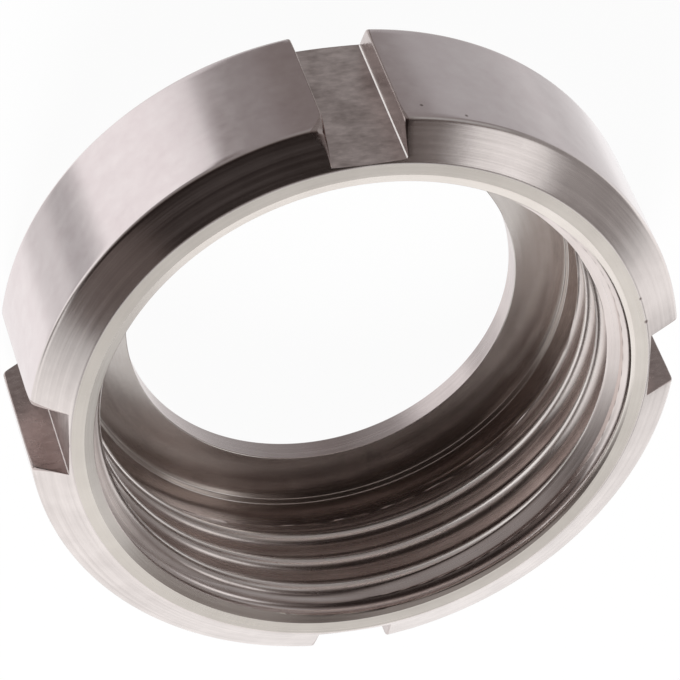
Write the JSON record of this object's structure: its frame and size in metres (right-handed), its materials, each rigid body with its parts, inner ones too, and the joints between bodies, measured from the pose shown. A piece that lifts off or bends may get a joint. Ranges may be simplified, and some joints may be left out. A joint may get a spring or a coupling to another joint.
{
  "type": "union nut",
  "caption": "Slotted steel union nut for a pipe coupling, with a coarse internal round thread, a plain collar bore, chamfered ends and spanner slots.",
  "frame": {"origin": "centre of the collar's outer face, on which the nut stands", "axes": "+Z along the nut's axis from the collar towards the thread mouth; a spanner slot lies on each of +X, +Y, -X and -Y"},
  "size_m": [0.0694, 0.0694, 0.021],
  "materials": {
    "steel": "turned and milled, satin"
  },
  "bodies": {
    "root": {"nut": "steel"}
  },
  "joints": []
}
